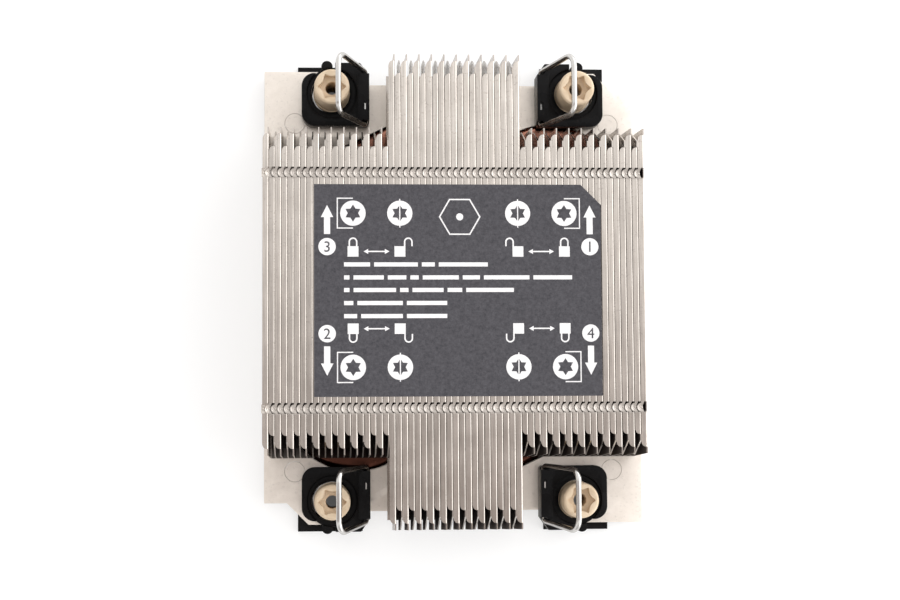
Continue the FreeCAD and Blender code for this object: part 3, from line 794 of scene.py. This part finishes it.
def thin_solid(bm, loops, low, high):
    """A closed flat solid whose outline is the first loop; the other loops are holes."""
    levels = []
    for z in (low, high):
        rings = [[bm.verts.new((x, y, z)) for x, y in loop] for loop in loops]
        edges = [bm.edges.new(pair) for ring in rings for pair in zip(ring, ring[1:] + ring[:1])]
        bmesh.ops.triangle_fill(bm, use_beauty=True, edges=edges, normal=(0, 0, 1))
        levels.append(rings)
    for lower, upper in zip(*levels):
        for k in range(len(lower)):
            bm.faces.new((lower[k - 1], lower[k], upper[k], upper[k - 1]))


def circle_points(x, y, radius, steps=40):
    return arc_points((x, y), radius, radius, 0, 360 - 360 / steps, steps - 1)


def star_points(x, y, tip=2.05, waist=1.25):
    angles = [(math.radians(30 * k), tip if k % 2 else waist) for k in range(12)]
    return [(x + r * math.cos(a), y + r * math.sin(a)) for a, r in angles]


def bar_points(left, right, low, high):
    return [(left, low), (right, low), (right, high), (left, high)]


def arrow_points(x, low, high):
    """An upright arrow with its tip at the top."""
    head, half, wide = high - 2.9, 0.74, 1.47
    return [(x - half, low), (x + half, low), (x + half, head), (x + wide, head), (x, high),
            (x - wide, head), (x - half, head)]


def double_arrow_points(left, right, y):
    head, half, wide = 1.1, 0.16, 0.6
    return [(left, y), (left + head, y - wide), (left + head, y - half), (right - head, y - half),
            (right - head, y - wide), (right, y), (right - head, y + wide), (right - head, y + half),
            (left + head, y + half), (left + head, y + wide)]


def shackle_points(x, y, left_low, right_low):
    """A bow open at the bottom, its two legs ending at the given heights."""
    outer, inner = 1.05, 0.7
    return ([(x - inner, left_low), (x - inner, y)] + arc_points((x, y), inner, inner, 180, 0, 12)[1:]
            + [(x + inner, right_low), (x + outer, right_low)]
            + arc_points((x, y), outer, outer, 0, 180, 16) + [(x - outer, left_low)])


def bracket_points(left, right, low, high):
    return [(left, low), (right, low), (right, low + STROKE), (left + STROKE, low + STROKE),
            (left + STROKE, high - STROKE), (right, high - STROKE), (right, high), (left, high)]


def quarter_print():
    """The symbols of the upper left quarter: shapes as lists of loops, and how far each is sunk."""
    outer_x, inner_x, star_y, disc = -25.25, -14.1, 18.35, 3.02
    lock_low, lock_high, lock_half, bow_y, bow_shift, overlap = 7.95, 10.45, 1.3, 11.5, 2.0, 0.05
    bracket_x, bracket_half, slot_half = -29.1, 3.7, 2.1
    arrow_low, arrow_high, digit_disc = 13.35, 20.3, 2.07
    swap_left, swap_right, swap_y = -22.75, -16.6, 9.2
    shapes = [
        ([circle_points(outer_x, star_y, disc), star_points(outer_x, star_y)], 0),
        ([circle_points(inner_x, star_y, disc), star_points(inner_x, star_y)], 0),
        ([bar_points(inner_x - STROKE / 2, inner_x + STROKE / 2, star_y - slot_half,
                     star_y + slot_half)], 1),
        ([bracket_points(bracket_x, outer_x, star_y - bracket_half, star_y + bracket_half)], 0),
        ([arrow_points(-DIGIT_X, arrow_low, arrow_high)], 0),
        ([circle_points(-DIGIT_X, DIGIT_Y, digit_disc)], 0),
        ([bar_points(outer_x - lock_half, outer_x + lock_half, lock_low, lock_high)], 0),
        ([shackle_points(outer_x, bow_y, lock_high - overlap, lock_high - overlap)], 1),
        ([double_arrow_points(swap_left, swap_right, swap_y)], 0),
        ([bar_points(inner_x - lock_half, inner_x + lock_half, lock_low, lock_high)], 0),
        ([shackle_points(inner_x + bow_shift, bow_y, lock_high - overlap, lock_high)], 1)]
    for end in (-1, 1):
        low, high = sorted((star_y + end * (disc - 0.1), star_y + end * (disc + 0.4)))
        shapes.append(([bar_points(inner_x - STROKE / 2, inner_x + STROKE / 2, low, high)], 1))
    return shapes


def make_print(film_top):
    """White ink: symbols mirrored into four quarters, a six-sided sign, and bars for the lines."""
    bm = bmesh.new()
    shapes = []
    for loops, sunk in quarter_print():
        for side, end in CORNERS.values():
            shapes.append(([[(-side * x, end * y) for x, y in loop] for loop in loops], sunk))
    six = [circle_points(*SIGN, radius, 6) for radius in (5.0, 4.62)]
    shapes += [(six, 0), ([circle_points(*SIGN, 0.85)], 0)]
    for y, bars in LINES.items():
        left = LINES_LEFT
        for bar in bars:
            shapes.append(([bar_points(left, left + bar, y - BAR_HALF, y + BAR_HALF)], 0))
            left += bar + BAR_GAP
    for loops, sunk in shapes:
        moved = [[(x + PRINT_SHIFT, y) for x, y in loop] for loop in loops]
        thin_solid(bm, moved, film_top - PRINT_THICK, film_top + PRINT_THICK * (1 - 0.3 * sunk))
    ink = new_piece("label_ink", mesh_in_metres(bm, "label_ink"), PRINT)
    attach(ink, "heatsink")


def make_digits(film_top):
    """Dark digits on the four round signs."""
    bm = bmesh.new()
    for digit, (side, end) in {"3": (-1, 1), "1": (1, 1), "2": (-1, -1), "4": (1, -1)}.items():
        curve = bpy.data.curves.new("digit", "FONT")
        curve.body, curve.size, curve.extrude = digit, DIGIT_TALL, PRINT_THICK / 2
        curve.align_x, curve.align_y, curve.resolution_u = "CENTER", "CENTER", 4
        stroke = bpy.data.objects.new("digit", curve)
        bpy.context.scene.collection.objects.link(stroke)
        mesh = plain_mesh(stroke)
        bpy.data.objects.remove(stroke)
        corners = [v.co for v in mesh.vertices]
        middle = (Vector(map(min, zip(*corners))) + Vector(map(max, zip(*corners)))) / 2
        at = Vector((DIGIT_X * side + PRINT_SHIFT, DIGIT_Y * end, film_top + PRINT_THICK * 1.5))
        mesh.transform(Matrix.Scale(MM, 4) @ Matrix.Translation(at - middle))
        bm.from_mesh(mesh)
    bmesh.ops.remove_doubles(bm, verts=bm.verts[:], dist=0.001 * MM)
    bmesh.ops.recalc_face_normals(bm, faces=bm.faces[:])
    digits = new_piece("label_digits", mesh_from(bm, "label_digits"), FILM)
    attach(digits, "heatsink")


def make_label():
    """The film is a hair thinner than the solid label, so that its ink ends at the solid's top."""
    bm = bmesh.new()
    low, high = box_mm("instruction_label")
    top = high.z - 2 * PRINT_THICK
    outline = [(low.x, low.y), (high.x, low.y), (high.x, high.y - FILM_CUT),
               (high.x - FILM_CUT, high.y), (low.x, high.y)]
    thin_solid(bm, [outline], low.z, top)
    film = new_piece("label_film", mesh_in_metres(bm, "label_film"), FILM)
    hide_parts("instruction_label")
    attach(film, "heatsink")
    make_print(top)
    make_digits(top)


# ---------------------------------------------------------------------------------------------
# stage
# ---------------------------------------------------------------------------------------------

SKY_SIDE = (0.85, 0.2, -0.25)        # where the light from the side comes from
SKY_BANDS = ((0.43, (1.05, 1.04, 1.03)), (0.52, (0.43, 0.38, 0.36)), (0.57, (0.5, 0.45, 0.43)),
             (0.66, (1.15, 1.12, 1.1)), (0.95, (0.6, 0.59, 0.58)))    # tints from back to front


def make_floor():
    """Pale floor, plain paper to the light. To the eye it glows too, apart from the small spots that
    show through the nuts' bores."""
    bm = bmesh.new()
    bmesh.ops.create_grid(bm, x_segments=1, y_segments=1, size=1.2)
    floor = new_piece("floor", mesh_from(bm, "floor"))
    material = bpy.data.materials.new("pale_floor")
    material.use_nodes = True
    tree = material.node_tree
    tree.nodes.remove(tree.nodes["Principled BSDF"])
    seen = place(tree, "ShaderNodeLightPath").outputs["Is Camera Ray"]
    paper = place(tree, "ShaderNodeBsdfDiffuse", {"Color": (0.85, 0.85, 0.85, 1)})
    faint = place(tree, "ShaderNodeBsdfDiffuse", {"Color": (0.47, 0.47, 0.47, 1)})
    spot = place(tree, "ShaderNodeTexCoord").outputs["Object"]
    nut = nut_axis("back_right") * MM
    quarter = place(tree, "ShaderNodeVectorMath", {0: spot}, operation="ABSOLUTE").outputs["Vector"]
    away = place(tree, "ShaderNodeVectorMath", {0: quarter, 1: (nut.x, nut.y, 0)},
                 operation="DISTANCE").outputs["Value"]
    glow = place(tree, "ShaderNodeEmission",
                 {"Color": (1, 1, 1, 1), "Strength": map_range(tree, away, 0.003, 0.004, 0.07, 0.58)})
    lit = place(tree, "ShaderNodeAddShader", {0: faint.outputs["BSDF"], 1: glow.outputs["Emission"]})
    swap = place(tree, "ShaderNodeMixShader", {"Fac": seen, 1: paper.outputs["BSDF"],
                                               2: lit.outputs["Shader"]})
    tree.links.new(swap.outputs["Shader"], tree.nodes["Material Output"].inputs["Surface"])
    floor.data.materials.append(material)


def make_sky():
    """Light from all round: brightest from one side, banded from back to front elsewhere."""
    world = bpy.data.worlds.new("studio")
    bpy.context.scene.world = world
    world.use_nodes = True
    tree = world.node_tree
    sky = tree.nodes["Background"]
    aim = place(tree, "ShaderNodeTexCoord").outputs["Generated"]
    to_side = place(tree, "ShaderNodeVectorMath", {0: aim, 1: SKY_SIDE},
                    operation="DOT_PRODUCT").outputs["Value"]
    to_front = map_range(tree, split(tree, aim)["Y"], 1.0, -1.0)
    bands = place(tree, "ShaderNodeValToRGB", {"Fac": to_front})
    colors = bands.color_ramp.elements
    for spot, tint in SKY_BANDS[1:-1]:
        colors.new(spot)
    for element, (spot, tint) in zip(colors, SKY_BANDS):
        element.position, element.color = spot, (*tint, 1)
    beside = map_range(tree, to_side, -0.02, 0.3)
    tree.links.new(mix(tree, beside, bands.outputs["Color"], (1, 1, 1, 1)), sky.inputs["Color"])
    side_glow = map_range(tree, to_side, 0.2, 0.5, 1.0, 2.6)
    tilt = map_range(tree, to_side, -0.2, -0.08, 1.0, 1.2)
    tree.links.new(math_node(tree, "MULTIPLY", side_glow, tilt), sky.inputs["Strength"])


def make_light():
    lamp = bpy.data.lights.new("softbox", "AREA")
    lamp.shape, lamp.size, lamp.energy = "DISK", 0.45, 0.3
    softbox = bpy.data.objects.new("softbox", lamp)
    softbox.location = (0.62, 0.36, 0.42)
    softbox.rotation_euler = (Vector((0, 0, 0)) - softbox.location).to_track_quat("-Z", "Y").to_euler()
    bpy.context.scene.collection.objects.link(softbox)


def make_camera():
    camera = bpy.data.objects.new("camera", bpy.data.cameras.new("camera"))
    camera.data.lens, camera.data.sensor_width = 74.7, 36.0
    camera.location = (-0.0304, -0.0347, 0.4672)
    camera.rotation_euler = Euler([math.radians(a) for a in (4.1917, -3.6462, -0.3408)])
    camera.data.clip_start = 0.01
    bpy.context.scene.collection.objects.link(camera)
    bpy.context.scene.camera = camera


make_metal_base()
make_fins()
make_label()
for corner in CORNERS:
    make_corner(corner)
make_floor()
make_sky()
make_light()
make_camera()
bpy.context.scene.view_settings.view_transform = "Standard"
